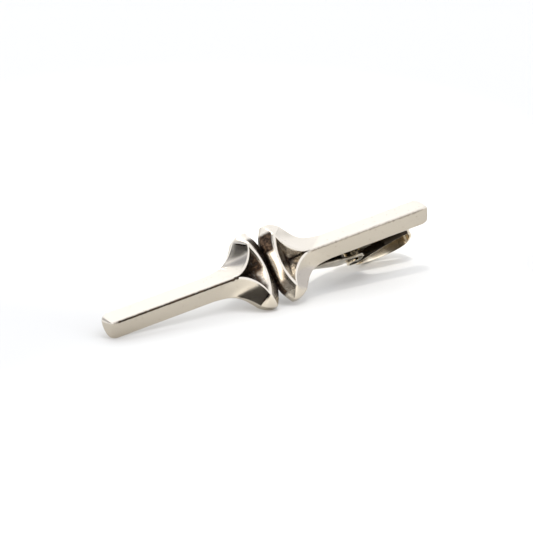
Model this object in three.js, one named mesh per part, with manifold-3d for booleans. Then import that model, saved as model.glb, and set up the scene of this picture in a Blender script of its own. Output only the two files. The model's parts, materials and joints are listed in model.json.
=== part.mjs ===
// A tie clip: two cast silver bar halves, each flaring into two lobes round a three-cornered pit,
// soldered nose to nose on a backing strip, with a sprung alligator clip behind the right half.
//
// Every piece is drawn in the bar's own frame, in millimetres:
//   +X along the bar towards the clip's thumb lever, +Z out of the decorated front, Z = 0 at the flat back.
// At the end the whole assembly is turned to lie as it does on a table: on one bar end, one lobe tip and
// the lower edge of the thumb pad.
import * as THREE from 'three';
import { mergeVertices } from 'three/addons/utils/BufferGeometryUtils.js';
import Module from 'manifold-3d';

const wasm = await Module();
wasm.setup();

// ---- driving dimensions (mm) ----
const LENGTH = 59.2; // end to end
const BAR_HALF_WIDTH = 2.04;
const RIDGE_HEIGHT = 2.0;
const RIDGE_LAND = 0.12; // half the width of the flat along the ridge
const BAR_EDGE = 0.18; // height of the upright edge along the bar
const NOSE_EDGE = 0.5; // and at the middle of the nose
const LOBE_EDGE = 1.0; // and at a lobe's tip
const EDGE_DRAFT = 0.06; // share of the face's width that a full-height edge leans in
const LOBE_REACH = 6.36; // from the middle line to a lobe's tip
const HALF_GAP = 0.03; // half the gap between the two noses
const PIT_FLOOR = 0.3; // height of the pit's lowest point
const SCOOP_HOLLOW = 0.3; // how hollow the faces are where the bar flares into the lobes

const STRIP = { from: -6, to: 24, halfWidth: 1.5, top: -0.04, thick: 0.5 };

const HINGE = new THREE.Vector2(17.6, -4.9); // x, z of the hinge line
const PIN_RADIUS = 0.55;
const PIN_CLEARANCE = 0.06; // of the bracket's bores
const JAW_BORE_CLEARANCE = 0.02;
const PIN_HALF_LENGTH = 2.47;
const BORE_REACH = 4; // bores are cut from this far out on both sides
const PIN_HEAD = { radius: 0.9, thick: 0.22 };

const CLIP_OFFSET = -0.35; // how far the clip sits off the bar's middle line
const SHEET = 0.4; // thickness of the clip's pressed sheet
const BRACKET_EAR = { inner: 1.1, outer: 1.5, radius: 1.1 };
const JAW_EAR = { inner: 2.01, outer: 2.41, radius: 1.25 };
const CURL_RADIUS = 1.68; // middle of the lever's curl round the hinge
const CURL_HALF_WIDTH = 2.8;
const SLOT = { clearance: 0.08, from: 14, top: -2 }; // slots in the curl for the jaw's ears

const RIVET = { z: HINGE.y + 0.22, radius: 0.27, clearance: 0.04, headRadius: 0.45, headThick: 0.2 };
const SPRING = { thick: 0.25, halfWidth: 0.9, coilRadius: 0.86 };

// ---- finishes ----
const silver = () => new THREE.MeshStandardMaterial({ color: 0xd9d5cd, metalness: 1, roughness: 0.22 });
const plated = () => new THREE.MeshStandardMaterial({ color: 0xcfc8ba, metalness: 1, roughness: 0.28 });
const bronze = () => new THREE.MeshStandardMaterial({ color: 0xa98a5c, metalness: 1, roughness: 0.35 });

// ---- solids and booleans ----
function geometryFrom(positions, triangles) {
  const geometry = new THREE.BufferGeometry();
  geometry.setAttribute('position', new THREE.Float32BufferAttribute(positions, 3));
  geometry.setIndex(triangles);
  return geometry;
}

function toSolid(geometry) {
  const bare = geometry.clone();
  bare.deleteAttribute('normal');
  bare.deleteAttribute('uv');
  const merged = mergeVertices(bare, 1e-5);
  const vertProperties = new Float32Array(merged.attributes.position.array);
  const triVerts = new Uint32Array(merged.index.array);
  return new wasm.Manifold(new wasm.Mesh({ numProp: 3, vertProperties, triVerts }));
}

function toGeometry(solid) {
  const mesh = solid.getMesh();
  return geometryFrom(Array.from(mesh.vertProperties), Array.from(mesh.triVerts));
}

const join = (...solids) => solids.reduce((whole, next) => whole.add(next));

// a closed outline in the X-Z plane, extruded along Y from y0 to y1
function slabAcross(points, y0, y1) {
  const shape = new THREE.Shape(points);
  const geometry = new THREE.ExtrudeGeometry(shape, { depth: y1 - y0, bevelEnabled: false });
  geometry.rotateX(Math.PI / 2);
  geometry.translate(0, y1, 0);
  return toSolid(geometry);
}

// the same outline extruded twice, once on each side of the middle, from inner to outer
const pairAcross = (points, inner, outer) => [
  slabAcross(points, inner, outer),
  slabAcross(points, -outer, -inner),
];

// a box given by its two opposite corners
function block(low, high) {
  const size = high.map((value, axis) => value - low[axis]);
  const geometry = new THREE.BoxGeometry(...size);
  geometry.translate(...low.map((value, axis) => value + size[axis] / 2));
  return toSolid(geometry);
}

// a round bar lying along Y through the point (x, z)
function barAcross(x, z, radius, y0, y1, sides = 32) {
  const geometry = new THREE.CylinderGeometry(radius, radius, y1 - y0, sides);
  geometry.translate(x, (y0 + y1) / 2, z);
  return toSolid(geometry);
}

// a cutter for the hinge line's bores
const hingeBore = (clearance) =>
  barAcross(HINGE.x, HINGE.y, PIN_RADIUS + clearance, -BORE_REACH, BORE_REACH);

// points on an arc round a centre, angles in degrees
function arc(centre, radius, from, to, steps) {
  return Array.from({ length: steps + 1 }, (_, i) => {
    const angle = THREE.MathUtils.degToRad(from + ((to - from) * i) / steps);
    return new THREE.Vector2(centre.x + radius * Math.cos(angle), centre.y + radius * Math.sin(angle));
  });
}

const points2 = (pairs) => pairs.map(([x, y]) => new THREE.Vector2(x, y));
const smooth = (pairs, steps) => new THREE.SplineCurve(points2(pairs)).getPoints(steps);
const straight = (a, b, steps) =>
  Array.from({ length: steps + 1 }, (_, i) => new THREE.Vector2().lerpVectors(a, b, i / steps));

// ---- bar half ----
// One side of a half, from the middle of its nose round the lobe and along the bar to the middle of its
// end. Each station holds a point on the back outline, the matching point on the rim above it, how high
// the upright edge is there, and how hollow (positive) or full (negative) the face above it is.
function sideStations() {
  const end = LENGTH / 2;
  const tip = LOBE_REACH;
  const gap = HALF_GAP;
  const noseSteps = 14;
  const nose = smooth(
    [[gap, 0], [gap, 1.26], [gap, 2.53], [0.12, 3.79], [0.68, 5.06], [1.5, tip - 0.04]],
    noseSteps,
  );
  const noseRim = smooth([[1.22, 0], [1.36, 1.5], [1.72, 3.05], [2.2, 4.3]], noseSteps);
  const tipSteps = 5;
  const tipOutline = smooth([[1.5, tip - 0.04], [2.3, tip], [3.4, 6.05], [4.4, 5.4]], tipSteps);
  const tipRim = smooth([[2.2, 4.3], [2.34, 4.42], [2.5, 4.36], [2.58, 4.15]], tipSteps);
  const scoopSteps = 16;
  const scoop = smooth(
    [[4.4, 5.4], [5.1, 4.5], [6.0, 3.5], [7.1, 2.75], [8.6, 2.27], [10.8, BAR_HALF_WIDTH]],
    scoopSteps,
  );
  const scoopRim = smooth(
    [[2.58, 4.15], [2.95, 3.15], [3.7, 2.1], [4.8, 1.15], [5.95, 0.5], [7.1, RIDGE_LAND]],
    scoopSteps,
  );
  const barSteps = 4;
  const bar = straight(scoop.at(-1), new THREE.Vector2(end - 1.35, BAR_HALF_WIDTH), barSteps);
  const barRim = straight(scoopRim.at(-1), new THREE.Vector2(end - 0.62, RIDGE_LAND), barSteps);
  const endSteps = 6;
  const round = smooth(
    [[end - 1.35, BAR_HALF_WIDTH], [end - 0.5, 1.7], [end - 0.1, 0.95], [end, 0]],
    endSteps,
  );
  const roundRim = straight(barRim.at(-1), new THREE.Vector2(end - 0.54, 0), endSteps);

  const { lerp, smoothstep } = THREE.MathUtils;
  const runs = [
    { outline: nose, rim: noseRim, hollow: () => -0.12, edge: (t) => lerp(NOSE_EDGE, LOBE_EDGE, t ** 4) },
    { outline: tipOutline, rim: tipRim, hollow: () => -0.1, edge: () => LOBE_EDGE },
    {
      outline: scoop,
      rim: scoopRim,
      hollow: (t) => SCOOP_HOLLOW * Math.sin(Math.PI * Math.min(1, t * 1.15)) ** 1.2,
      edge: (t) => lerp(LOBE_EDGE, BAR_EDGE, smoothstep(t, 0, 0.9)),
    },
    { outline: bar, rim: barRim, hollow: () => 0, edge: () => BAR_EDGE },
    { outline: round, rim: roundRim, hollow: (t) => -0.45 * t, edge: () => BAR_EDGE },
  ];
  const stations = [];
  for (const { outline, rim, hollow, edge } of runs) {
    outline.forEach((foot, i) => {
      if (stations.length && i === 0) return;
      const t = i / (outline.length - 1);
      stations.push({ foot, rim: rim[i], hollow: hollow(t), edge: edge(t) });
    });
  }
  return stations;
}

// one side of the pit's mouth, from the middle of the nose side to the corner on the ridge
function pitSide() {
  const noseSide = smooth([[1.6, 0], [1.7, 1.3], [2.0, 2.6], [2.44, 3.78]], 8);
  const flank = smooth(
    [[2.44, 3.78], [2.85, 2.8], [3.55, 1.78], [4.6, 0.82], [5.7, 0.24], [6.75, 0]],
    12,
  );
  return [...noseSide, ...flank.slice(1)];
}

// mirrors one side's list across the middle line; the first and last entries lie on that line
function bothSides(side, mirror) {
  return [...side, ...side.slice(1, -1).reverse().map(mirror)];
}

function barHalf() {
  const flip = (p) => new THREE.Vector2(p.x, -p.y);
  const stations = bothSides(sideStations(), (s) => ({ ...s, foot: flip(s.foot), rim: flip(s.rim) }));
  const pit = bothSides(pitSide(), flip);
  const lowest = new THREE.Vector2(3.6, 0);
  const positions = [];
  const triangles = [];
  const addRing = (points, height) => {
    const start = positions.length / 3;
    points.forEach((p, i) => positions.push(p.x, p.y, height(i)));
    return { start, count: points.length };
  };
  const stitch = (a, b) => {
    for (let i = 0; i < a.count; i++) {
      const j = (i + 1) % a.count;
      triangles.push(a.start + i, a.start + j, b.start + j, a.start + i, b.start + j, b.start + i);
    }
  };

  // a flat cap over an outline and its hole, every triangle wound the same way round
  const addCap = ([outline, ...holes], indices, anticlockwise) => {
    const points = [outline, ...holes].flat();
    for (const face of THREE.ShapeUtils.triangulateShape(outline, holes)) {
      const [a, b, c] = face.map((i) => points[i]);
      const turnsLeft = b.clone().sub(a).cross(c.clone().sub(a)) > 0;
      const wound = turnsLeft === anticlockwise ? face : [face[0], face[2], face[1]];
      triangles.push(...wound.map((i) => indices[i]));
    }
  };

  const feet = stations.map((s) => s.foot);
  const back = addRing(feet, () => 0);
  let ring = back;
  const levels = 5;
  for (let level = 0; level <= levels; level++) {
    const share = level / levels;
    const points = stations.map((s) => {
      const lean = (EDGE_DRAFT * (s.edge - BAR_EDGE)) / (LOBE_EDGE - BAR_EDGE);
      return new THREE.Vector2().lerpVectors(s.foot, s.rim, lean + (1 - lean) * share);
    });
    const next = addRing(points, (i) => {
      const { edge, hollow } = stations[i];
      return edge + (RIDGE_HEIGHT - edge) * (share + hollow * share * (share - 1));
    });
    stitch(ring, next);
    ring = next;
  }

  // the flat land between the rim and the pit's mouth
  const mouth = addRing(pit, () => RIDGE_HEIGHT);
  const rimPoints = stations.map((s) => s.rim);
  const landIndex = [...rimPoints.keys()].map((i) => ring.start + i);
  for (const i of pit.keys()) landIndex.push(mouth.start + i);
  addCap([rimPoints, pit], landIndex, false);

  // the pit falls in from its mouth to one lowest point
  const pitDepth = RIDGE_HEIGHT - PIT_FLOOR;
  let wall = mouth;
  for (const share of [0.35, 0.7]) {
    const points = pit.map((p) => new THREE.Vector2().lerpVectors(p, lowest, share));
    const next = addRing(points, () => RIDGE_HEIGHT - pitDepth * (share * (1.25 - 0.25 * share)));
    stitch(wall, next);
    wall = next;
  }
  positions.push(lowest.x, lowest.y, PIT_FLOOR);
  const bottom = positions.length / 3 - 1;
  for (let i = 0; i < wall.count; i++) {
    triangles.push(wall.start + i, wall.start + ((i + 1) % wall.count), bottom);
  }

  addCap([feet], [...feet.keys()].map((i) => back.start + i), true);
  return outward(geometryFrom(positions, triangles));
}

// ---- backing strip ----
function backingStrip() {
  const { from, to, halfWidth, top, thick } = STRIP;
  const shape = new THREE.Shape([
    ...arc(new THREE.Vector2(to - halfWidth, 0), halfWidth, -90, 90, 12),
    ...arc(new THREE.Vector2(from + halfWidth, 0), halfWidth, 90, 270, 12),
  ]);
  const geometry = new THREE.ExtrudeGeometry(shape, { depth: thick, bevelEnabled: false });
  geometry.translate(0, 0, top - thick);
  return toGeometry(toSolid(geometry));
}

// ---- hinge bracket: a saddle plate on the strip with two ears for the pin ----
function hingeBracket() {
  const top = STRIP.top - STRIP.thick - 0.04;
  const { inner, outer, radius } = BRACKET_EAR;
  const left = 15.2;
  const right = 20.2;
  // the ear's left edge is waisted where the lever's curl comes over the pin
  const ear = [
    ...points2([[right - 0.3, top], [left + 1.2, top], [HINGE.x - 0.3, top - 0.9]]),
    ...points2([[HINGE.x - 0.25, HINGE.y + 1.7], [HINGE.x - 0.5, HINGE.y + 1.15]]),
    ...arc(HINGE, radius, 150, 370, 18),
  ];
  const ears = pairAcross(ear, inner, outer);
  const saddle = block([left, -outer, top - SHEET], [right, outer, top]);
  return toGeometry(join(saddle, ...ears).subtract(hingeBore(PIN_CLEARANCE)));
}

// ---- hinge pin, with both ends headed over ----
function hingePin() {
  const { radius, thick } = PIN_HEAD;
  const half = PIN_HALF_LENGTH;
  const profile = points2([
    [0, -half - thick], [radius * 0.7, -half - thick], [radius, -half - thick * 0.5], [radius, -half],
    [PIN_RADIUS, -half], [PIN_RADIUS, half],
    [radius, half], [radius, half + thick * 0.5], [radius * 0.7, half + thick], [0, half + thick],
  ]);
  const geometry = new THREE.LatheGeometry(profile, 28);
  geometry.translate(HINGE.x, 0, HINGE.y);
  return toGeometry(toSolid(geometry));
}

// ---- jaw arm: a pressed channel, toothed at its nose, with ears for the pin and a tab for the rivet ----
const JAW_TAB = { x: 15.2, thick: 0.45, z0: -5.6, z1: -3.95, halfWidth: 1.95 };
const JAW_TAPER = { share: 0.76, from: 4.6, to: 17 }; // the channel's width at its nose, and where it narrows
const TEETH = { count: 5, pitch: 0.8, drop: 0.24, top: -0.64 };

function jawArm() {
  const { inner, outer, radius } = JAW_EAR;
  const under = [[14.2, -5.62], [12.1, -4.5], [8.2, -2.45], [4.6, -1.35]];
  const cheek = [
    ...points2([[4.6, -0.72], [8.0, -0.85], [12.4, -1.45], [14.4, -2.1], [15.6, -2.6], [16.7, -3.35]]),
    ...arc(HINGE, radius, 80, -120, 18),
    ...points2([[15.9, -5.5], [15.35, -4.95], [15.1, -5.62], ...under]),
  ];
  const inside = [[4.6, -0.92], [8.1, -2.02], [12.0, -4.05], [14.3, -5.22], [15.1, -5.22], [15.1, -5.62]];
  const floor = slabAcross(points2([...inside, ...under]), -outer, outer);
  const { x, thick, z0, z1, halfWidth } = JAW_TAB;
  const tab = block([x - thick, -halfWidth, z0], [x, halfWidth, z1]);
  const teeth = Array.from({ length: TEETH.count }, (_, i) => {
    const back = JAW_TAPER.from + i * TEETH.pitch;
    const foot = -1.3 - i * TEETH.drop;
    const tooth = [[back, foot], [back + TEETH.pitch - 0.02, foot - TEETH.drop], [back + 0.2, TEETH.top]];
    return slabAcross(points2(tooth), -outer + 0.05, outer - 0.05);
  });
  const rivetHole = rivetBar(RIVET.radius + RIVET.clearance, x - 1, x + 1);
  const whole = join(floor, ...pairAcross(cheek, inner, outer), tab, ...teeth);
  const geometry = toGeometry(whole.subtract(hingeBore(JAW_BORE_CLEARANCE)).subtract(rivetHole));
  // the channel narrows from the hinge to its nose
  const position = geometry.attributes.position;
  for (let i = 0; i < position.count; i++) {
    const place = THREE.MathUtils.smoothstep(position.getX(i), JAW_TAPER.from, JAW_TAPER.to);
    position.setY(i, position.getY(i) * THREE.MathUtils.lerp(JAW_TAPER.share, 1, place));
  }
  return geometry;
}

// ---- thumb lever: one strip, curled round the hinge, run out to the tip and folded back under as a pad ----
// each entry: x, z, half the strip's width there
const LEVER_RUN = [
  [19.4, -6.32, 2.63], [21.3, -5.92, 2.31], [24.4, -5.55, 1.8], [26.9, -5.28, 1.51], [28.3, -5.55, 1.51],
  [28.85, -6.55, 1.85], [28.45, -7.7, 2.4], [27.2, -8.6, 2.67], [25.0, -9.35, 2.77], [22.4, -9.5, 2.8],
  [20.4, -9.0, 2.83], [18.9, -8.0, 2.83],
];

// sweeps a flat section along a route of [x, z, half width] entries
function ribbon(route, thick, steps) {
  const stops = route.map(([x, z, halfWidth]) => new THREE.Vector3(x, z, halfWidth));
  const curve = new THREE.CatmullRomCurve3(stops, false, 'centripetal');
  const positions = [];
  const triangles = [];
  for (let i = 0; i <= steps; i++) {
    const p = curve.getPointAt(i / steps);
    const t = curve.getTangentAt(i / steps);
    const across = new THREE.Vector2(-t.y, t.x).normalize().multiplyScalar(thick / 2);
    for (const [side, face] of [[-1, -1], [1, -1], [1, 1], [-1, 1]]) {
      positions.push(p.x + face * across.x, side * p.z, p.y + face * across.y);
    }
    if (i === 0) continue;
    const a = (i - 1) * 4;
    const b = i * 4;
    for (let k = 0; k < 4; k++) {
      const n = (k + 1) % 4;
      triangles.push(a + k, b + k, b + n, a + k, b + n, a + n);
    }
  }
  const last = steps * 4;
  triangles.push(0, 1, 2, 0, 2, 3, last, last + 2, last + 1, last, last + 3, last + 2);
  return outward(geometryFrom(positions, triangles));
}

// turns a closed mesh the right way out
function outward(geometry) {
  const index = geometry.index.array;
  const position = geometry.attributes.position;
  const [a, b, c] = [new THREE.Vector3(), new THREE.Vector3(), new THREE.Vector3()];
  let volume = 0;
  for (let i = 0; i < index.length; i += 3) {
    a.fromBufferAttribute(position, index[i]);
    b.fromBufferAttribute(position, index[i + 1]);
    c.fromBufferAttribute(position, index[i + 2]);
    volume += a.dot(b.cross(c)) / 6;
  }
  if (volume < 0) {
    for (let i = 0; i < index.length; i += 3) [index[i], index[i + 1]] = [index[i + 1], index[i]];
  }
  return geometry;
}

function rivetBar(radius, x0, x1) {
  const geometry = new THREE.CylinderGeometry(radius, radius, x1 - x0, 20);
  geometry.rotateZ(Math.PI / 2);
  geometry.translate((x0 + x1) / 2, 0, RIVET.z);
  return toSolid(geometry);
}

function thumbLever() {
  const curl = arc(HINGE, CURL_RADIUS, 112, 285, 14).map((p) => [p.x, p.y, CURL_HALF_WIDTH]);
  const strip = toSolid(ribbon([...curl, ...LEVER_RUN], SHEET, 84));
  const reach = JAW_EAR.radius + SLOT.clearance;
  const slots = [-1, 1].map((side) => {
    const y0 = side * (JAW_EAR.inner - SLOT.clearance);
    const y1 = side * (JAW_EAR.outer + SLOT.clearance);
    return block([SLOT.from, Math.min(y0, y1), HINGE.y - reach], [HINGE.x, Math.max(y0, y1), SLOT.top]);
  });
  const rivetHole = rivetBar(RIVET.radius + RIVET.clearance, SLOT.from, HINGE.x - PIN_RADIUS);
  return toGeometry(strip.subtract(slots[0]).subtract(slots[1]).subtract(rivetHole));
}

// ---- rivet that holds the lever's curl to the jaw's tab ----
function leverRivet() {
  const { radius, headRadius, headThick } = RIVET;
  const left = JAW_TAB.x - JAW_TAB.thick - 0.03;
  const right = HINGE.x - CURL_RADIUS + SHEET / 2 + 0.06;
  const profile = points2([
    [0, left - headThick], [headRadius * 0.75, left - headThick], [headRadius, left], [radius, left],
    [radius, right], [headRadius * 0.8, right], [headRadius * 0.6, right + headThick], [0, right + headThick],
  ]);
  const geometry = new THREE.LatheGeometry(profile, 20);
  geometry.rotateZ(-Math.PI / 2);
  geometry.translate(0, 0, RIVET.z);
  return toGeometry(toSolid(geometry));
}

// ---- hairpin spring: bent round the pin, one leg on the strip and one on the lever ----
function hairpinSpring() {
  const { thick, halfWidth, coilRadius } = SPRING;
  const bend = arc(HINGE, coilRadius, 60, 285, 16).map((p) => [p.x, p.y, halfWidth]);
  const upperLeg = [[23.3, -0.74], [21.4, -1.02], [19.7, -1.75]].map(([x, z]) => [x, z, halfWidth]);
  const lowerLeg = [[19.4, -5.82], [21.4, -5.5], [23.6, -5.22]].map(([x, z]) => [x, z, halfWidth]);
  return ribbon([...upperLeg, ...bend, ...lowerLeg], thick, 60);
}

// ---- assembly ----
const assembly = new THREE.Group();
function place(name, geometry, material) {
  const mesh = new THREE.Mesh(geometry, material);
  mesh.name = name;
  assembly.add(mesh);
  return mesh;
}

place('right_bar_half', barHalf(), silver());
place('left_bar_half', barHalf(), silver()).rotation.z = Math.PI;
place('backing_strip', backingStrip(), plated());
const clip = [
  place('hinge_bracket', hingeBracket(), plated()),
  place('hinge_pin', hingePin(), plated()),
  place('jaw_arm', jawArm(), plated()),
  place('thumb_lever', thumbLever(), plated()),
  place('lever_rivet', leverRivet(), plated()),
  place('hairpin_spring', hairpinSpring(), bronze()),
];
for (const piece of clip) piece.position.y = CLIP_OFFSET;

// ---- lay it on the table ----
// The lowest point of each of three pieces of edge sets the table's plane. A few passes settle it,
// because the lowest point moves a little as the plane turns.
function lowestPoint(name, up, keep) {
  const mesh = assembly.getObjectByName(name);
  mesh.updateMatrix();
  const position = mesh.geometry.attributes.position;
  const best = new THREE.Vector3();
  let least = Infinity;
  for (let i = 0; i < position.count; i++) {
    const p = new THREE.Vector3().fromBufferAttribute(position, i).applyMatrix4(mesh.matrix);
    if (keep(p) && p.dot(up) < least) {
      least = p.dot(up);
      best.copy(p);
    }
  }
  return best;
}

const up = new THREE.Vector3(0.13, 0.8, 0.58).normalize();
for (let pass = 0; pass < 6; pass++) {
  const barEnd = lowestPoint('left_bar_half', up, (p) => p.x < -LENGTH / 4);
  const lobeTip = lowestPoint('left_bar_half', up, (p) => p.x > -LENGTH / 4);
  const pad = lowestPoint('thumb_lever', up, () => true);
  up.crossVectors(lobeTip.clone().sub(barEnd), pad.clone().sub(barEnd)).normalize();
  if (up.y < 0) up.negate();
}

const along = new THREE.Vector3(1, 0, 0).addScaledVector(up, -up.x).normalize();
const level = new THREE.Vector3().crossVectors(up, along);
const toTable = new THREE.Matrix4().makeBasis(along, level, up).transpose();
assembly.setRotationFromMatrix(toTable);
assembly.updateMatrixWorld(true);
const box = new THREE.Box3().setFromObject(assembly, true);
assembly.position.set(-(box.min.x + box.max.x) / 2, -(box.min.y + box.max.y) / 2, -box.min.z);

const group = new THREE.Group();
group.add(assembly);

export default group;
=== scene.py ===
# %% [markdown]
# # A silver tie clip
# The clip is two cast silver halves, soldered nose to nose on a strip, with a sprung alligator clip behind.
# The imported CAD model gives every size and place. This script puts the finished surfaces on it:
# cast, polished and darkened silver in front, pressed plated sheet and a bronze spring behind.

# %% Load the frame
import json
import math

import bmesh
import bpy
import numpy as np
from mathutils import Matrix, Vector


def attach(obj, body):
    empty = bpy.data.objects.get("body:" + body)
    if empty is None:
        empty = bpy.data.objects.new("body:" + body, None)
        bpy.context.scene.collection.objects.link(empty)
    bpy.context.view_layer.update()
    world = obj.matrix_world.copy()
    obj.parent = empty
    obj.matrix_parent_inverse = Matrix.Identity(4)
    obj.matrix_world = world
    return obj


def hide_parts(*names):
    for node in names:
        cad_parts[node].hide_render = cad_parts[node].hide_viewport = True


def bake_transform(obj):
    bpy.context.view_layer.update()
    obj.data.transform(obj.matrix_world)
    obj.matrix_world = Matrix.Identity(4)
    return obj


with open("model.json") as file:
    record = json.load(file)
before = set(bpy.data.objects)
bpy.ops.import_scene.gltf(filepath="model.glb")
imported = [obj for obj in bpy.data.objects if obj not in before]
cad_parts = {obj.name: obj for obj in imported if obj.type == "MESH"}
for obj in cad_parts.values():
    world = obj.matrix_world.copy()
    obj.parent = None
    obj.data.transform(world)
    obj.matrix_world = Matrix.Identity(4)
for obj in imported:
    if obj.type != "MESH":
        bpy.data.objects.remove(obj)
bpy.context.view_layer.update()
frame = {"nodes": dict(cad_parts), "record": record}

MM = 0.001

# %% [markdown]
# The clip lies on its side, so the frame's axes don't follow its own. All shaping is easier in the bar's
# own axes: x along the bar, y across it, z out of the decorated front. The hinge line runs across the bar
# and the mount's normal points out of its back, so the two give all three axes.

# %% The bar's own axes
record = frame["record"]
pivot = record["behaviour"]["joints"][0]
back_mount = record["mounts"][0]
across = -Vector(pivot["axis"]).normalized()
front = -Vector(back_mount["axis"]).normalized()
along = across.cross(front).normalized()
axes = Matrix((along, across, front)).transposed()


def span_along(node):
    """The lowest and highest place of a CAD node along the bar, in metres."""
    places = [v.co.dot(along) for v in frame["nodes"][node].data.vertices]
    return min(places), max(places)


left_end = span_along("left_bar_half")[0]
right_end = span_along("right_bar_half")[1]
nose = along * ((left_end + right_end) / 2) + across * Vector(pivot["pos_m"]).dot(across)
nose += front * Vector(back_mount["pos_m"]).dot(front)
hinge = (Vector(pivot["pos_m"]) - nose) @ axes / MM
to_frame = Matrix.Translation(nose) @ axes.to_4x4() @ Matrix.Scale(MM, 4)
bar_length = (right_end - left_end) / MM
lever_places = [v.co.dot(across) for v in frame["nodes"]["thumb_lever"].data.vertices]
clip_offset = ((min(lever_places) + max(lever_places)) / 2 - nose.dot(across)) / MM
to_clip = to_frame @ Matrix.Translation((0, clip_offset, 0))
print(f"bar {bar_length:.2f} mm long, hinge at x {hinge.x:.2f}, z {hinge.z:.2f} mm")


# %% [markdown]
# ## The cast halves
# A silversmith carves one half in wax, casts two, and files and polishes them. Every section across it is
# the same idea: a foot on the flat back, a face rising to a rim, a narrow land, then the pit. So the half
# is lofted: stations run round its outline, and each one carries a profile from the back up to the rim.
# A sculpted mesh could do it too, but a loft keeps the arrises crisp where two faces meet.

# %% Outlines of a half, in millimetres
BAR_HALF_WIDTH = 2.04
RIDGE_HEIGHT = 2.0
RIDGE_LAND = 0.12
BAR_EDGE = 0.18
NOSE_EDGE = 0.5
LOBE_EDGE = 1.0
EDGE_DRAFT = 0.06
SCOOP_HOLLOW = 0.3
LOBE_REACH = 6.36
HALF_GAP = 0.03
PIT_FLOOR = 0.3
PIT_LOWEST = np.array([3.6, 0.0])


def smooth(points, steps):
    """A curve through the points, passing smoothly from one to the next."""
    points = np.array(points, float)
    last = len(points) - 1
    out = []
    for t in np.linspace(0, last, steps + 1):
        i = min(int(t), last - 1)
        f = t - i
        p0, p1, p2, p3 = (points[min(max(i + k, 0), last)] for k in (-1, 0, 1, 2))
        v0, v1 = (p2 - p0) / 2, (p3 - p1) / 2
        out.append(
            (2 * p1 - 2 * p2 + v0 + v1) * f**3 + (-3 * p1 + 3 * p2 - 2 * v0 - v1) * f**2 + v0 * f + p1
        )
    return np.array(out)


def straight(a, b, steps):
    return np.linspace(a, b, steps + 1)


def side_runs():
    """The five stretches of one side: outline, rim above it, and how hollow the face between them is."""
    end = bar_length / 2
    gap = HALF_GAP
    nose_foot = smooth(
        [[gap, 0], [gap, 1.26], [gap, 2.53], [0.12, 3.79], [0.68, 5.06], [1.5, LOBE_REACH - 0.04]], 30
    )
    nose_rim = smooth([[1.22, 0], [1.36, 1.5], [1.72, 3.05], [2.2, 4.3]], 30)
    tip_foot = smooth([[1.5, LOBE_REACH - 0.04], [2.3, LOBE_REACH], [3.4, 6.05], [4.4, 5.4]], 12)
    tip_rim = smooth([[2.2, 4.3], [2.34, 4.42], [2.5, 4.36], [2.58, 4.15]], 12)
    scoop_foot = smooth(
        [[4.4, 5.4], [5.1, 4.5], [6.0, 3.5], [7.1, 2.75], [8.6, 2.27], [10.8, BAR_HALF_WIDTH]], 48
    )
    scoop_rim = smooth(
        [[2.58, 4.15], [2.95, 3.15], [3.7, 2.1], [4.8, 1.15], [5.95, 0.5], [7.1, RIDGE_LAND]], 48
    )
    bar_foot = straight(scoop_foot[-1], [end - 1.35, BAR_HALF_WIDTH], 16)
    bar_rim = straight(scoop_rim[-1], [end - 0.62, RIDGE_LAND], 16)
    end_foot = smooth([[end - 1.35, BAR_HALF_WIDTH], [end - 0.5, 1.7], [end - 0.1, 0.95], [end, 0]], 18)
    end_rim = straight(bar_rim[-1], [end - 0.54, 0], 18)
    rise = LOBE_EDGE - BAR_EDGE
    return [
        (nose_foot, nose_rim, lambda t: -0.12, lambda t: NOSE_EDGE + (LOBE_EDGE - NOSE_EDGE) * t**4),
        (tip_foot, tip_rim, lambda t: -0.1, lambda t: LOBE_EDGE),
        (
            scoop_foot,
            scoop_rim,
            lambda t: SCOOP_HOLLOW * math.sin(math.pi * min(1, t * 1.15)) ** 1.2,
            lambda t: LOBE_EDGE - rise * min(1, t / 0.9) ** 2 * (3 - 2 * min(1, t / 0.9)),
        ),
        (bar_foot, bar_rim, lambda t: 0.0, lambda t: BAR_EDGE),
        (end_foot, end_rim, lambda t: -0.45 * t, lambda t: BAR_EDGE),
    ]


print("half outline runs:", [len(run[0]) for run in side_runs()])


# %% Loft one half
LEVELS = 14
PIT_LEVELS = 10
ARRIS_SOFTNESS = 0.11


def stations():
    feet, rims, hollows, edges, joints = [], [], [], [], []
    for foot, rim, hollow, edge in side_runs():
        for i in range(len(foot)):
            if feet and i == 0:
                continue
            t = i / (len(foot) - 1)
            feet.append(foot[i])
            rims.append(rim[i])
            hollows.append(hollow(t))
            edges.append(edge(t))
        joints.append(len(feet) - 1)
    return np.array(feet), np.array(rims), np.array(hollows), np.array(edges), joints


def pit_side(joints):
    """The pit's mouth, one point for each station as far as the ridge."""
    nose_steps, tip_end, scoop_end = joints[0], joints[1], joints[2]
    nose_side = smooth([[1.6, 0], [1.7, 1.3], [2.0, 2.6], [2.42, 3.74]], nose_steps)
    corner = smooth([[2.42, 3.74], [2.45, 3.79], [2.48, 3.74]], tip_end - nose_steps)
    flank = smooth(
        [[2.48, 3.74], [2.85, 2.8], [3.55, 1.78], [4.6, 0.82], [5.7, 0.24], [6.75, 0]], scoop_end - tip_end
    )
    return np.vstack([nose_side, corner[1:], flank[1:]])


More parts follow.
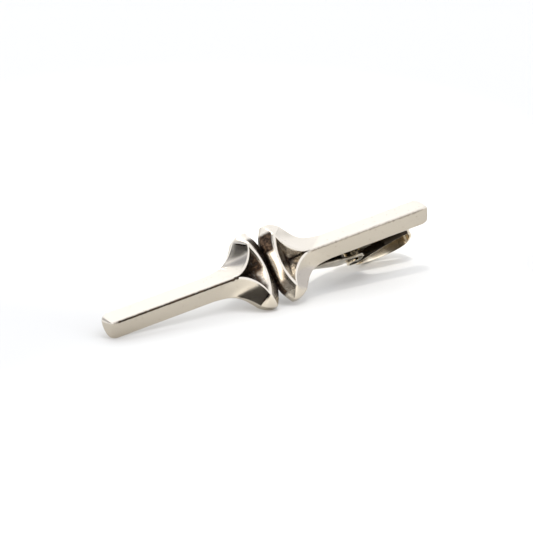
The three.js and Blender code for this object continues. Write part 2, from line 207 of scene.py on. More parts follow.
def loft_half():
    """One half in its own millimetres, nose at x = 0 and bar towards +x, with its softened edges marked."""
    feet, rims, hollows, edges, joints = stations()
    lean = (EDGE_DRAFT * (edges - BAR_EDGE) / (LOBE_EDGE - BAR_EDGE))[:, None]
    pit = pit_side(joints)
    count, pit_last = len(feet), len(pit) - 1
    mesh = bmesh.new()
    soft = mesh.edges.layers.float.new("bevel_weight_edge")
    sides = {}
    for hand in (1, -1):
        flip = np.array([1, hand])
        rows = []
        rows.append([mesh.verts.new((*(foot * flip), 0)) for foot in feet])
        for level in range(LEVELS + 1):
            share = level / LEVELS
            plan = feet + (rims - feet) * (lean + (1 - lean) * share)
            rise = share + hollows * share * (share - 1)
            height = edges + (RIDGE_HEIGHT - edges) * rise
            rows.append([mesh.verts.new((*(p * flip), h)) for p, h in zip(plan, height)])
        for share in np.linspace(0.5, 1, 2):
            plan = rims[: pit_last + 1] + (pit - rims[: pit_last + 1]) * share
            rows.append([mesh.verts.new((*(p * flip), RIDGE_HEIGHT)) for p in plan])
        depth = RIDGE_HEIGHT - PIT_FLOOR
        for share in np.linspace(0, 1, PIT_LEVELS + 1)[1:-1]:
            plan = pit + (PIT_LOWEST - pit) * share
            height = RIDGE_HEIGHT - depth * share * (1.25 - 0.25 * share)
            rows.append([mesh.verts.new((*(p * flip), height)) for p in plan])
        sides[hand] = rows
    bottom = mesh.verts.new((*PIT_LOWEST, PIT_FLOOR))

    def quad(*verts):
        kept = [v for k, v in enumerate(verts) if v not in verts[:k]]
        if len(kept) > 2:
            mesh.faces.new(kept)

    for hand, rows in sides.items():
        for lower, upper in zip(rows, rows[1:]):
            for i in range(len(upper) - 1):
                quad(lower[i], lower[i + 1], upper[i + 1], upper[i])
        for i in range(pit_last):
            quad(rows[-1][i], rows[-1][i + 1], bottom)
    rim_row = LEVELS + 1
    for i in range(pit_last, count - 1):
        one, other = sides[1][rim_row], sides[-1][rim_row]
        quad(one[i], one[i + 1], other[i + 1], other[i])
    left_land, right_land = sides[1][rim_row + 1][pit_last], sides[-1][rim_row + 1][pit_last]
    quad(sides[1][rim_row][pit_last], left_land, right_land, sides[-1][rim_row][pit_last])
    quad(left_land, sides[1][rim_row + 2][pit_last], sides[-1][rim_row + 2][pit_last], right_land)
    mesh.faces.new([*sides[1][0], *reversed(sides[-1][0][1:-1])])

    # the edges that polishing has softened: the foot, the rim, the pit's mouth and the arrises
    def mark(chain, weight=1.0):
        for a, b in zip(chain, chain[1:]):
            edge = mesh.edges.get((a, b))
            if edge is not None:
                edge[soft] = weight

    for rows in sides.values():
        mark(rows[0], 0.6)
        mark(rows[1], 0.9)
        mark(rows[rim_row], 1.0)
        mark(rows[rim_row + 2], 1.0)
        for station in (joints[0], joints[1], joints[3]):
            mark([row[station] for row in rows[: rim_row + 1]], 1.6)
    bmesh.ops.remove_doubles(mesh, verts=mesh.verts, dist=1e-5)
    bmesh.ops.recalc_face_normals(mesh, faces=mesh.faces)
    return mesh


# %% Place and finish a piece
def bake(obj, angle=38):
    """Applies a piece's modifiers and smooths its faces across edges below the angle, in degrees."""
    bpy.context.view_layer.update()
    evaluated = obj.evaluated_get(bpy.context.evaluated_depsgraph_get())
    baked = bpy.data.meshes.new_from_object(evaluated)
    obj.modifiers.clear()
    obj.data = baked
    baked.shade_smooth()
    baked.set_sharp_from_angle(angle=math.radians(angle))


def finished(obj, body, replaced, angle=38):
    """Bakes a piece, and rides it on its body in place of its CAD nodes."""
    bake(obj, angle)
    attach(obj, body)
    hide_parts(*replaced)
    print(f"{obj.name}: {len(obj.data.polygons)} faces on {body}")


def piece_from(mesh, name, placed=to_frame):
    """A new object from a bmesh in millimetres, placed in the frame's metres."""
    bmesh.ops.transform(mesh, matrix=placed, verts=mesh.verts)
    data = bpy.data.meshes.new(name)
    mesh.to_mesh(data)
    mesh.free()
    obj = bpy.data.objects.new(name, data)
    bpy.context.scene.collection.objects.link(obj)
    return obj


def soften(obj, width_mm, segments=3, by_angle=None):
    bevel = obj.modifiers.new("polished edges", "BEVEL")
    bevel.width = width_mm * MM
    bevel.segments = segments
    bevel.harden_normals = False
    if by_angle is None:
        bevel.limit_method = "WEIGHT"
    else:
        bevel.limit_method = "ANGLE"
        bevel.angle_limit = math.radians(by_angle)


def store_oxide_and_painted_ridge(obj, turned):
    """Stores how dark each point of a half is: 0 on open faces, towards 1 with oxide in the pit and the
    groove, and a painted dark reflection along the ridge.

    Lengths are in millimetres. below is the depth under the ridge and high is the side of the bar.
    """
    mesh = obj.data
    co = np.empty(len(mesh.vertices) * 3)
    mesh.vertices.foreach_get("co", co)
    local = (co.reshape(-1, 3) - np.array(nose)) @ np.array(axes) / MM
    x = -local[:, 0] if turned else local[:, 0]
    high, y, z = local[:, 1], np.abs(local[:, 1]), local[:, 2]
    mouth = pit_side(stations()[4])
    corner = int(np.argmax(mouth[:, 1]))
    near = np.interp(y, mouth[: corner + 1, 1], mouth[: corner + 1, 0])
    far = np.interp(-y, -mouth[corner:, 1], mouth[corner:, 0])
    in_pit = (x > near - 0.02) & (x < far + 0.02) & (y < mouth[corner, 1]) & (z < RIDGE_HEIGHT - 0.05)
    below = RIDGE_HEIGHT - z
    floor_dark = 0.85 * np.clip((below - 0.5) / 1.1, 0, 1)
    if turned:
        flank_dark = 0.75 * np.clip((below - 0.12) / 0.3, 0, 1)
    else:
        flank_dark = 0.42 * np.clip(below / 0.2, 0, 1) * np.clip(high / 0.1, 0, 1)
    wall_dark = np.clip((high + 0.7) / 0.9, 0, 0.95) + np.clip((-2.1 - high) / 0.7, 0, 0.9)
    nose_share = np.clip((near + 0.9 * below + 0.25 - x) / 0.35, 0, 1)
    pit_depth = np.maximum(floor_dark, flank_dark * (1 - nose_share) + wall_dark * nose_share)
    rim = smooth([[1.22, 0], [1.36, 1.5], [1.72, 3.05], [2.2, 4.3]], 30)
    rim_x = np.interp(y, rim[:, 1], rim[:, 0])
    on_nose = (x < rim_x - 0.02) & (y < LOBE_REACH - 0.1)
    deep = np.clip((RIDGE_HEIGHT - 0.75 - z) / 0.5, 0, 1)
    upper = np.clip((high - 1.6) / 0.8, 0, 1) * np.clip((below - 0.12) / 0.1, 0, 1)
    lower = np.clip((-2.4 - high) / 0.6, 0, 1) * np.clip((below - 0.15) / 0.2, 0, 1)
    groove = np.maximum.reduce([deep, upper, 0.45 * lower]) * np.clip((5.3 - y) / 0.7, 0, 1)
    # painted dark reflection: a dark line along the ridge's land, darker on the left half than on the right
    ridge = (y < 0.34) & (high < 0.1) & (x > 6.2) & (x < 28.4) & (z > RIDGE_HEIGHT - 0.32)
    depth = np.select([in_pit, on_nose, ridge], [pit_depth, groove, 0.8 if turned else 0.35], 0.0)
    layer = mesh.attributes.new("oxide_and_shade_map", "FLOAT", "POINT")
    layer.data.foreach_set("value", depth.astype(np.float32))


right_half = piece_from(loft_half(), "right_half_cast")
left_half = piece_from(loft_half(), "left_half_cast", to_frame @ Matrix.Rotation(math.pi, 4, "Z"))
for half, node in ((left_half, "left_bar_half"), (right_half, "right_bar_half")):
    soften(half, ARRIS_SOFTNESS)
    finished(half, "clip_body", [node])
    store_oxide_and_painted_ridge(half, half is left_half)


# %% [markdown]
# ## The pressed clip
# The thumb lever and the spring are both strips bent along a route, one wide and one narrow. Geometry
# Nodes fits that: one group sweeps a straight profile along any route, and its width follows the route's
# own attribute. Extruding each bend by hand would give the same shape, but the route would be hard to edit.

# %% Add one node to a tree
def add(tree, kind, links=None, stops=(), **settings):
    """Adds one node, sets its properties, inputs and colour stops, and links its inputs."""
    node = tree.nodes.new(kind)
    for name, value in settings.items():
        if name.startswith("in_"):
            key = name[3:]
            node.inputs[int(key) if key.isdigit() else key.replace("_", " ")].default_value = value
        else:
            setattr(node, name, value)
    if stops:
        elements = node.color_ramp.elements
        while len(elements) < len(stops):
            elements.new(0.5)
        for element, (place, tint) in zip(elements, stops):
            element.position = place
            element.color = tint
    for name, socket in (links or {}).items():
        tree.links.new(socket, node.inputs[name])
    return node


# %% A node group that sweeps a strip along a route
def strip_group():
    tree = bpy.data.node_groups.new("strip along a route", "GeometryNodeTree")
    tree.interface.new_socket("Route", in_out="INPUT", socket_type="NodeSocketGeometry")
    samples = tree.interface.new_socket("Samples", in_out="INPUT", socket_type="NodeSocketInt")
    tree.interface.new_socket("Strip", in_out="OUTPUT", socket_type="NodeSocketGeometry")
    source = add(tree, "NodeGroupInput")
    curve = add(tree, "GeometryNodeMeshToCurve", {"Mesh": source.outputs["Route"]})
    spline = add(
        tree, "GeometryNodeCurveSplineType", {"Curve": curve.outputs["Curve"]}, spline_type="CATMULL_ROM"
    )
    resample_links = {"Curve": spline.outputs["Curve"], "Count": source.outputs["Samples"]}
    resample = add(tree, "GeometryNodeResampleCurve", resample_links)
    upright = add(tree, "GeometryNodeSetCurveNormal", {"Curve": resample.outputs["Curve"]}, mode="Z_UP")
    width = add(tree, "GeometryNodeInputNamedAttribute", data_type="FLOAT", in_Name="half_width")
    profile = add(tree, "GeometryNodeCurvePrimitiveLine", in_Start=(0, -1, 0), in_End=(0, 1, 0))
    sweep_links = {
        "Curve": upright.outputs["Curve"],
        "Profile Curve": profile.outputs["Curve"],
        "Scale": width.outputs["Attribute"],
    }
    sweep = add(tree, "GeometryNodeCurveToMesh", sweep_links)
    quarter_turn = (math.pi / 2, 0, 0)
    stand = add(tree, "GeometryNodeTransform", {"Geometry": sweep.outputs["Mesh"]}, in_Rotation=quarter_turn)
    solid = add(tree, "GeometryNodeRealizeInstances", {"Geometry": stand.outputs["Geometry"]})
    add(tree, "NodeGroupOutput", {"Strip": solid.outputs["Geometry"]})
    return tree, samples.identifier


strip_nodes, samples_input = strip_group()
print(f"{strip_nodes.name}: {len(strip_nodes.nodes)} nodes")


def swept_strip(route, samples):
    """The middle surface of a strip as a bmesh in millimetres; route entries are x, z, half width."""
    data = bpy.data.meshes.new("route")
    links = [(i, i + 1) for i in range(len(route) - 1)]
    data.from_pydata([(x, z, 0) for x, z, _ in route], links, [])
    width = data.attributes.new("half_width", "FLOAT", "POINT")
    width.data.foreach_set("value", [entry[2] for entry in route])
    guide = bpy.data.objects.new("route", data)
    bpy.context.scene.collection.objects.link(guide)
    sweep = guide.modifiers.new("strip", "NODES")
    sweep.node_group = strip_nodes
    sweep[samples_input] = samples
    bpy.context.view_layer.update()
    shape = guide.evaluated_get(bpy.context.evaluated_depsgraph_get())
    baked = bpy.data.meshes.new_from_object(shape)
    mesh = bmesh.new()
    mesh.from_mesh(baked)
    bpy.data.objects.remove(guide)
    bpy.data.meshes.remove(baked)
    return mesh


def bend(radius, start, stop, steps, half_width):
    """Route entries round the hinge line, angles in degrees."""
    turns = np.radians(np.linspace(start, stop, steps + 1))
    return [(hinge.x + radius * math.cos(a), hinge.z + radius * math.sin(a), half_width) for a in turns]


def thicken(obj, thickness):
    sheet = obj.modifiers.new("sheet", "SOLIDIFY")
    sheet.thickness = thickness * MM
    sheet.offset = 0
    sheet.use_even_offset = True


def paint_shade(obj, rule):
    """Stores painted shade on a piece, from a rule on its points and normals in the bar's axes."""
    mesh = obj.data
    count = len(mesh.vertices)
    co, normals = np.empty(count * 3), np.empty(count * 3)
    mesh.vertices.foreach_get("co", co)
    mesh.vertices.foreach_get("normal", normals)
    turn = np.array(axes)
    local = (co.reshape(-1, 3) - np.array(nose)) @ turn / MM
    depth = rule(*local.T, *(normals.reshape(-1, 3) @ turn).T)
    layer = mesh.attributes.new("oxide_and_shade_map", "FLOAT", "POINT")
    layer.data.foreach_set("value", np.asarray(depth, np.float32))


# %% Thumb lever and spring
SHEET = 0.4
CURL_RADIUS = 1.68
CURL_HALF_WIDTH = 2.8
SLOT = (1.93, 2.49)
LEVER_RUN = [
    (19.4, -6.32, 2.63), (21.3, -5.92, 2.31), (24.4, -5.55, 1.8), (26.9, -5.28, 1.51), (28.3, -5.55, 1.51),
    (28.85, -6.55, 1.85), (28.45, -7.7, 2.4), (27.2, -8.6, 2.67), (25.0, -9.35, 2.77), (22.4, -9.5, 2.8),
    (20.4, -9.0, 2.83), (18.9, -8.0, 2.83),
]

lever_mesh = swept_strip(bend(CURL_RADIUS, 112, 285, 14, CURL_HALF_WIDTH) + LEVER_RUN, 150)
for edge in (*SLOT, -SLOT[0], -SLOT[1]):
    everything = lever_mesh.verts[:] + lever_mesh.edges[:] + lever_mesh.faces[:]
    bmesh.ops.bisect_plane(lever_mesh, geom=everything, plane_co=(0, edge, 0), plane_no=(0, 1, 0))
slot_faces = []
for face in lever_mesh.faces:
    middle = face.calc_center_median()
    if middle.x < hinge.x and middle.z > hinge.z - 1.33 and SLOT[0] < abs(middle.y) < SLOT[1]:
        slot_faces.append(face)
bmesh.ops.delete(lever_mesh, geom=slot_faces, context="FACES")
lever = piece_from(lever_mesh, "thumb_lever_strip", to_clip)
thicken(lever, SHEET)
soften(lever, 0.07, by_angle=50)
finished(lever, "rocker", ["thumb_lever"])


def lever_painted_shade(x, y, z, nx, ny, nz):
    # painted shade: the top of the upper strip under the bar, the inside of the curl and the inner side of
    # the fold
    inner_top = (nz > 0.35) & (z > -6.9) & (x > hinge.x + 0.6) & (x < 28.0)
    in_curl = (np.hypot(x - hinge.x, z - hinge.z) < CURL_RADIUS) & (x < 19.2)
    in_fold = (x > 27.2) & (nx < -0.2) & (z < -5.4) & (z > -8.4)
    return np.select([in_curl, inner_top, in_fold], [0.85, 0.9, 0.45], 0.0)


paint_shade(lever, lever_painted_shade)

SPRING_THICK = 0.25
SPRING_HALF_WIDTH = 0.9
spring_legs = ([(23.3, -0.74), (21.4, -1.02), (19.7, -1.75)], [(19.4, -5.82), (21.4, -5.5), (23.6, -5.22)])
upper_leg, lower_leg = ([(x, z, SPRING_HALF_WIDTH) for x, z in leg] for leg in spring_legs)
spring_route = upper_leg + bend(0.86, 60, 285, 16, SPRING_HALF_WIDTH) + lower_leg
spring = piece_from(swept_strip(spring_route, 110), "hairpin_spring_strip", to_clip)
thicken(spring, SPRING_THICK)
soften(spring, 0.04, segments=2, by_angle=50)


# %% [markdown]
# The rest of the clip is plate and wire, cut and folded by a press tool. Their CAD solids are already the
# right shape, so each piece is a copy of one, cleaned up and with its sheared edges broken by a bevel.

# %% Bracket, jaw, strip, pin and rivet
def plate_copy(node, name, body, softness, rule):
    mesh = bmesh.new()
    mesh.from_mesh(frame["nodes"][node].data)
    bmesh.ops.remove_doubles(mesh, verts=mesh.verts, dist=1e-6)
    bmesh.ops.dissolve_limit(mesh, angle_limit=math.radians(0.6), verts=mesh.verts, edges=mesh.edges)
    obj = piece_from(mesh, name, Matrix())
    soften(obj, softness, segments=2, by_angle=35)
    finished(obj, body, [node], angle=30)
    paint_shade(obj, rule)
    return obj


# painted shade on the plates, pin, rivet and spring: darker inside the jaw's channel and behind the bar, and
# even all over the pin, rivet and spring
def shaded_inside_channel(x, y, z, nx, ny, nz):
    off_middle = y - clip_offset
    cheek_inside = ny * np.sign(off_middle) < -0.3
    web_inside = (nz > 0.3) & (np.abs(off_middle) < 2.0)
    return np.where(cheek_inside | web_inside, 0.8, 0.5)


def shaded_behind_bar(x, y, z, nx, ny, nz):
    return np.where(x < hinge.x - 1, 0.7, 0.15)


def shaded_all_over(x, y, z, nx, ny, nz):
    return np.full(x.shape, 0.6)


plates = [
    plate_copy("backing_strip", "backing_strip_plate", "clip_body", 0.06, shaded_behind_bar),
    plate_copy("hinge_bracket", "hinge_bracket_plate", "clip_body", 0.06, shaded_behind_bar),
    plate_copy("jaw_arm", "jaw_channel", "rocker", 0.06, shaded_inside_channel),
]
wires = [
    plate_copy("hinge_pin", "headed_pin", "clip_body", 0.05, shaded_all_over),
    plate_copy("lever_rivet", "lever_rivet_wire", "rocker", 0.04, shaded_all_over),
]

# %% [markdown]
# The hairpin spring has one leg on the bar and the other on the jaw, so opening the jaw bends the real one.
# It belongs to neither body alone, and here it is baked in place as it stands, riding on no body.
# Two rigid halves would tear at the coil.

# %% The spring, baked where it stands
bake(spring)
# painted shade, even over the whole spring
paint_shade(spring, shaded_all_over)
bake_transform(spring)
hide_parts("hairpin_spring")
print(f"{spring.name}: {len(spring.data.polygons)} faces, blended from clip_body to rocker")


# %% [markdown]
# ## Materials
# All four finishes are bare metal, so each one is a fully metallic surface: its colour is the tint of its
# reflections, and its roughness says how sharp they are. The cast silver is filed and buffed until it
# mirrors the room, then dipped to blacken it, and buffed again, which leaves the oxide only in the
# recesses. Plated sheet keeps faint rolling lines. Drawn wire is a little duller, and phosphor bronze
# browns with age. A value stored on each point carries the oxide, with no image. It also carries painted
# shade: a dark line along the ridge of the halves, and shade inside and behind the clip on its sheet,
# wire and spring.

# %% Colour and material helpers
def colour(hex_code):
    """An sRGB hex colour as the linear RGBA that shaders use."""
    parts = [int(hex_code[i : i + 2], 16) / 255 for i in (0, 2, 4)]
    linear = [c / 12.92 if c <= 0.04045 else ((c + 0.055) / 1.055) ** 2.4 for c in parts]
    return (*linear, 1.0)


def metal(name, hex_code, roughness):
    material = bpy.data.materials.new(name)
    material.use_nodes = True
    shader = material.node_tree.nodes["Principled BSDF"]
    shader.inputs["Metallic"].default_value = 1.0
    shader.inputs["Base Color"].default_value = colour(hex_code)
    shader.inputs["Roughness"].default_value = roughness
    return material, material.node_tree, shader


def position_mm(tree, stretch=(1, 1, 1)):
    """Object position in millimetres along the bar's own axes, so that patterns keep their real size."""
    where = add(tree, "ShaderNodeTexCoord")
    scale = add(
        tree, "ShaderNodeVectorMath", {0: where.outputs["Object"]}, operation="SCALE", in_Scale=1 / MM
    )
    turn = add(tree, "ShaderNodeVectorRotate", {"Vector": scale.outputs[0]}, rotation_type="EULER_XYZ")
    turn.inputs["Rotation"].default_value = axes.transposed().to_euler()
    place = add(tree, "ShaderNodeVectorMath", {0: turn.outputs[0]}, operation="MULTIPLY", in_1=stretch)
    return place.outputs[0]


def grey(value):
    return (value, value, value, 1.0)


SILVER = "C4BBAC"


def cast_silver_material():
    """Mirror-bright metal with a warm tint; oxide in the recesses and the painted dark reflection on the
    ridge are brown-black, duller and lumpy.
    """
    material, tree, shader = metal("cast silver, polished and darkened", SILVER, 0.2)
    place = position_mm(tree)
    # noise scales are in turns per millimetre: 4.5 is casting grain of about 0.2 mm, and real grain is
    # finer, so it is drawn coarser to show; 1.3 spaces the pinholes about 0.8 mm apart
    grain = add(tree, "ShaderNodeTexNoise", {"Vector": place}, in_Scale=4.5, in_Detail=4.0, in_Roughness=0.6)
    cloud = add(tree, "ShaderNodeTexNoise", {"Vector": place}, in_Scale=0.45, in_Detail=3.0)
    pits = add(tree, "ShaderNodeTexVoronoi", {"Vector": place}, in_Scale=1.3, in_Randomness=1.0)
    hole_stops = [(0.05, grey(0)), (0.11, grey(1))]
    hole_ramp = add(tree, "ShaderNodeValToRGB", {"Fac": pits.outputs["Distance"]}, stops=hole_stops)
    holes = hole_ramp.outputs["Color"]
    oxide_and_shade_map = add(tree, "ShaderNodeAttribute", attribute_name="oxide_and_shade_map")
    mottle = add(
        tree, "ShaderNodeTexNoise", {"Vector": place}, in_Scale=2.2, in_Detail=5.0, in_Roughness=0.65
    )
    # rubbing leaves the oxide uneven: this adds from -0.45 to 0.45 to the stored darkness value
    worn = add(
        tree, "ShaderNodeMath", {0: mottle.outputs["Fac"]}, operation="MULTIPLY_ADD", in_1=0.9, in_2=-0.45
    )
    oxide_and_shade = add(tree, "ShaderNodeMath", {0: oxide_and_shade_map.outputs["Fac"], 1: worn.outputs[0]}, operation="ADD")
    oxide_and_shade_stops = [(0.12, grey(0)), (0.75, grey(1))]
    oxide_and_shade_ramp = add(tree, "ShaderNodeValToRGB", {"Fac": oxide_and_shade.outputs[0]}, stops=oxide_and_shade_stops)
    oxide_and_shade_amount = oxide_and_shade_ramp.outputs["Color"]
    # silver sulphide is near black where it is thick and brown where it is thin
    oxide_stops = [(0.36, colour("17120E")), (0.5, colour("382D25")), (0.66, colour("5F4D3D"))]
    oxide = add(tree, "ShaderNodeValToRGB", {"Fac": mottle.outputs["Fac"]}, stops=oxide_stops)
    # mixes in the oxide, and with it the painted dark reflection on the ridge, where the stored value is
    # high
    oxide_and_shade_links = {"Factor": oxide_and_shade_amount, 7: oxide.outputs["Color"]}
    oxide_and_shade_colour = add(tree, "ShaderNodeMix", oxide_and_shade_links, data_type="RGBA", in_6=colour(SILVER))
    bright_links = {"Factor": holes, 7: oxide_and_shade_colour.outputs[2]}
    bright = add(tree, "ShaderNodeMix", bright_links, data_type="RGBA", in_6=colour("6B5F52"))
    tree.links.new(bright.outputs[2], shader.inputs["Base Color"])
    rough = add(tree, "ShaderNodeMapRange", {"Value": cloud.outputs["Fac"]}, in_3=0.14, in_4=0.26)
    matte_links = {0: oxide_and_shade_amount, 2: rough.outputs[0]}
    matte = add(tree, "ShaderNodeMath", matte_links, operation="MULTIPLY_ADD", in_1=0.18)
    tree.links.new(matte.outputs[0], shader.inputs["Roughness"])
    relief = add(tree, "ShaderNodeMath", {0: grain.outputs["Fac"], 1: holes}, operation="MULTIPLY")
    crust = add(tree, "ShaderNodeTexNoise", {"Vector": place}, in_Scale=2.6, in_Detail=2.0, in_Roughness=0.6)
    lumps = add(tree, "ShaderNodeMath", {0: crust.outputs["Fac"], 1: oxide_and_shade_amount}, operation="MULTIPLY")
    height_links = {0: lumps.outputs[0], 2: relief.outputs[0]}
    height = add(tree, "ShaderNodeMath", height_links, operation="MULTIPLY_ADD", in_1=16.0)
    bump_links = {"Height": height.outputs[0]}
    bump = add(tree, "ShaderNodeBump", bump_links, in_Strength=0.45, in_Distance=0.006 * MM)
    tree.links.new(bump.outputs["Normal"], shader.inputs["Normal"])
    return material


cast_silver = cast_silver_material()
print(f"{cast_silver.name}: {len(cast_silver.node_tree.nodes)} nodes")


def sheet_metal(name, clean, shade_tint, roughness, line_contrast=0.04):
    """Rolled and plated sheet: fine lines along the strip, and painted shade towards a dark tint where the
    stored value is high.
    """
    material, tree, shader = metal(name, clean, roughness)
    # rolling lines about 0.1 mm apart and 2 mm long; real ones are finer, so these are drawn coarser to show
    stretched, place = position_mm(tree, (0.4, 9, 9)), position_mm(tree)
    lines = add(tree, "ShaderNodeTexNoise", {"Vector": stretched}, in_Scale=1.2, in_Detail=3.0)
    mottle = add(tree, "ShaderNodeTexNoise", {"Vector": place}, in_Scale=1.6, in_Detail=4.0)
    oxide_and_shade_map = add(tree, "ShaderNodeAttribute", attribute_name="oxide_and_shade_map")
    worn = add(
        tree, "ShaderNodeMath", {0: mottle.outputs["Fac"]}, operation="MULTIPLY_ADD", in_1=0.4, in_2=-0.2
    )
    oxide_and_shade = add(tree, "ShaderNodeMath", {0: oxide_and_shade_map.outputs["Fac"], 1: worn.outputs[0]}, operation="ADD")
    stops = [(0.25, grey(0)), (0.85, grey(1))]
    amount = add(tree, "ShaderNodeValToRGB", {"Fac": oxide_and_shade.outputs[0]}, stops=stops).outputs["Color"]
    # painted shade: the colour goes towards the dark tint by the stored value
    tints = {"in_6": colour(clean), "in_7": colour(shade_tint)}
    mixed = add(tree, "ShaderNodeMix", {"Factor": amount}, data_type="RGBA", **tints)
    tree.links.new(mixed.outputs[2], shader.inputs["Base Color"])
    rough = add(
        tree, "ShaderNodeMapRange", {"Value": lines.outputs["Fac"]},
        in_3=roughness - line_contrast, in_4=roughness + line_contrast,
    )
    tree.links.new(rough.outputs[0], shader.inputs["Roughness"])
    bump_links = {"Height": lines.outputs["Fac"]}
    bump = add(tree, "ShaderNodeBump", bump_links, in_Strength=0.2, in_Distance=0.004 * MM)
    tree.links.new(bump.outputs["Normal"], shader.inputs["Normal"])
    return material


# each finish: clean colour, painted shade tint, roughness
sheet_silver = sheet_metal("silver plated sheet", "D9CDB6", "2A241C", 0.2)
pin_wire = sheet_metal("drawn nickel silver wire", "BDB3A0", "2A2219", 0.28)
spring_bronze = sheet_metal("browned phosphor bronze", "A8834E", "3A2A16", 0.3)
finishes = {
    "cast_silver": cast_silver,
    "pressed_silver": sheet_silver,
    "pin_wire": pin_wire,
    "spring_bronze": spring_bronze,
}
pieces = {"cast_silver": [left_half, right_half], "pressed_silver": [lever, *plates]}
pieces |= {"pin_wire": wires, "spring_bronze": [spring]}
for slot_name, objects in pieces.items():
    for obj in objects:
        obj.data.materials.clear()
        obj.data.materials.append(finishes[slot_name])
for part in record["subparts"]:
    node_mesh = frame["nodes"][part["node"]].data
    node_mesh.materials.clear()
    node_mesh.materials.append(finishes[part["material_slot"]])
print("finishes:", ", ".join(material.name for material in finishes.values()))

# %% [markdown]
# ## Floor, camera and light
# Small silverware is shot on a matte white sweep: it bounces light up into the metal and gives a soft
# shadow. It has no gloss of its own here, so that nothing but the shadow marks it.

# %% Floor
FLOOR_HALF_SIZE = 3
corners = [(x * FLOOR_HALF_SIZE, y * FLOOR_HALF_SIZE, 0) for x, y in ((-1, -1), (1, -1), (1, 1), (-1, 1))]
floor_mesh = bpy.data.meshes.new("table")
floor_mesh.from_pydata(corners, [], [(0, 1, 2, 3)])
floor = bpy.data.objects.new("table", floor_mesh)
bpy.context.scene.collection.objects.link(floor)
paper = bpy.data.materials.new("white paper sweep")
paper.use_nodes = True
paper_inputs = paper.node_tree.nodes["Principled BSDF"].inputs
paper_inputs["Base Color"].default_value = colour("DAD7D0")
paper_inputs["Roughness"].default_value = 0.9
paper_inputs["Specular IOR Level"].default_value = 0.0
floor.data.materials.append(paper)
print(f"floor {2 * FLOOR_HALF_SIZE} m across")

# %% [markdown]
# A long lens from well back keeps the bar's two ends nearly the same size, as a product photographer
# would. The camera looks at the point where the halves meet, and a small lens shift frames the part.

# %% Camera
CAMERA_AZIMUTH = -32.5
CAMERA_ELEVATION = 20.45
CAMERA_DISTANCE = 0.6337
FOCAL_LENGTH = 277.4
LENS_SHIFT = (-0.0022, 0.0028)
camera_data = bpy.data.cameras.new("studio camera")
camera_data.lens = FOCAL_LENGTH
camera_data.sensor_width = 36
camera_data.clip_start = 0.01
camera_data.shift_x, camera_data.shift_y = LENS_SHIFT
camera = bpy.data.objects.new("studio camera", camera_data)
bpy.context.scene.collection.objects.link(camera)
azimuth, elevation = math.radians(CAMERA_AZIMUTH), math.radians(CAMERA_ELEVATION)
level = math.cos(elevation)
toward = Vector((math.sin(azimuth) * level, -math.cos(azimuth) * level, math.sin(elevation)))
camera.location = nose + toward * CAMERA_DISTANCE
camera.rotation_euler = toward.to_track_quat("Z", "Y").to_euler()
bpy.context.scene.camera = camera
print(f"camera {CAMERA_DISTANCE} m away with a {FOCAL_LENGTH} mm lens")

# %% [markdown]
# Polished metal shows its surroundings and hardly any colour of its own, so the room does most of the
# work. The world is a dim room with soft panels in it, each one in the direction that a face of the part
# mirrors. A tint above zero is a lit panel, and one below zero is a black flag that takes light away.

# %% The room that the metal mirrors
world = bpy.data.worlds.new("white studio")
bpy.context.scene.world = world
world.use_nodes = True
sky = world.node_tree
heading = add(sky, "ShaderNodeTexCoord").outputs["Generated"]
split = add(sky, "ShaderNodeSeparateXYZ", {"Vector": heading})


def fade(value, low, high, tint):
    """Light that rises from nothing at low to the tint at high (or falls, if high is below low)."""
    edges = {"in_1": low, "in_2": high}
    soft = add(sky, "ShaderNodeMapRange", {"Value": value}, interpolation_type="SMOOTHSTEP", **edges)
    tinted = add(sky, "ShaderNodeVectorMath", {0: soft.outputs[0]}, operation="MULTIPLY", in_1=tint)
    return tinted.outputs[0]


def panel(direction, inner, outer, tint):
    """A round soft panel of light in one direction, with its edge between two angles in degrees."""
    toward_panel = Vector(direction).normalized()
    facing = add(sky, "ShaderNodeVectorMath", {0: heading}, operation="DOT_PRODUCT", in_1=toward_panel)
    return fade(facing.outputs["Value"], math.cos(math.radians(outer)), math.cos(math.radians(inner)), tint)


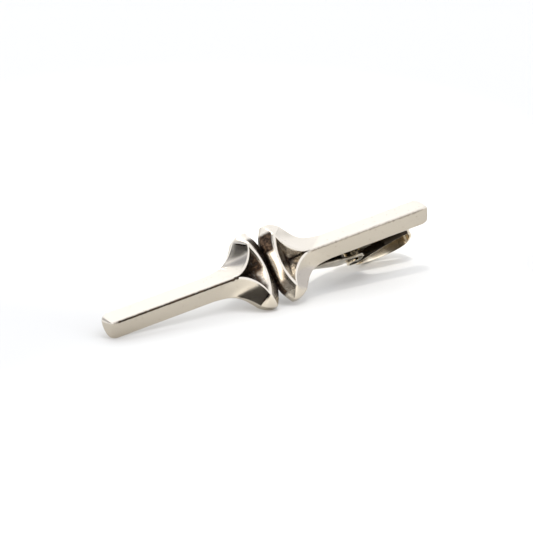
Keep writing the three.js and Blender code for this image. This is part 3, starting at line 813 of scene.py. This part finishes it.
side_on = add(sky, "ShaderNodeVectorMath", {0: heading}, operation="DOT_PRODUCT", in_1=(0.5, 1, 0))
frontal = add(sky, "ShaderNodeVectorMath", {0: heading}, operation="DOT_PRODUCT", in_1=(0.12, -0.99, 0))
low = fade(split.outputs["Z"], 0.10, 0.04, (2.3, 2.26, 2.2))
in_front = fade(frontal.outputs["Value"], 0.88, 0.95, (1, 1, 1))
front_low = add(sky, "ShaderNodeVectorMath", {0: low, 1: in_front}, operation="MULTIPLY")
lights = [
    fade(side_on.outputs["Value"], -0.86, -0.80, (1.62, 1.7, 1.88)),
    panel((-0.53, -0.44, 0.72), 13, 15.5, (-1.66, -1.74, -1.92)),
    front_low.outputs[0],
    panel((0.95, -0.25, 0.2), 8, 30, (-0.75, -0.8, -0.88)),
    panel((-0.62, 0.62, 0.47), 10, 24, (-1.0, -1.05, -1.15)),
    panel((-0.35, 0.0, 0.935), 7, 17, (-1.2, -1.25, -1.33)),
    panel((-0.95, -0.2, 0.25), 10, 19, (2.1, 1.75, 1.35)),
]
total = add(sky, "ShaderNodeCombineXYZ", in_0=0.05, in_1=0.045, in_2=0.04).outputs[0]
for light in lights:
    total = add(sky, "ShaderNodeVectorMath", {0: total, 1: light}, operation="ADD").outputs[0]
sky.links.new(total, sky.nodes["Background"].inputs["Color"])
print(f"room: {len(lights)} panels and flags")

# %% [markdown]
# Three lamps light the floor. The softbox casts the soft shadow, and two spots straight overhead keep the
# paper white in front of the part and behind it. With one strong lamp the shadow would be hard and black.

# %% Lamps
def softbox(name, place, target, size, power, tint):
    """A rectangular soft lamp that faces its target."""
    data = bpy.data.lights.new(name, "AREA")
    data.color = tint
    data.shape = "RECTANGLE"
    data.size, data.size_y = size
    data.energy = power
    lamp = bpy.data.objects.new(name, data)
    lamp.location = place
    lamp.rotation_euler = (Vector(place) - Vector(target)).to_track_quat("Z", "Y").to_euler()
    bpy.context.scene.collection.objects.link(lamp)


def pool_of_light(name, place, radius, blend):
    """A spot straight overhead that brightens a round patch of the floor, with a soft edge."""
    data = bpy.data.lights.new(name, "SPOT")
    data.energy = POOL_POWER
    data.spot_size = 2 * math.atan(radius / place[2])
    data.spot_blend = blend
    data.shadow_soft_size = 0.02
    lamp = bpy.data.objects.new(name, data)
    lamp.location = place
    bpy.context.scene.collection.objects.link(lamp)


POOL_POWER = 10.0
softbox("overhead softbox", (0.1, 0.45, 0.6), (0, 0, 0), (0.5, 0.4), 0.2, (0.92, 0.98, 1.0))
pool_of_light("front pool", (-0.01, -0.118, 0.5), 0.105, 0.2)
pool_of_light("pool behind", (0.022, 0.05, 0.5), 0.05, 0.3)
print("lamps:", ", ".join(lamp.name for lamp in bpy.data.lights))

# %% [markdown]
# The Standard view leaves colours as the lights make them, so the white paper stays white. A film-like
# view would grey it.

# %% View
scene = bpy.context.scene
scene.view_settings.view_transform = "Standard"
scene.view_settings.look = "None"
scene.view_settings.exposure = 0.0
print("view:", scene.view_settings.view_transform)
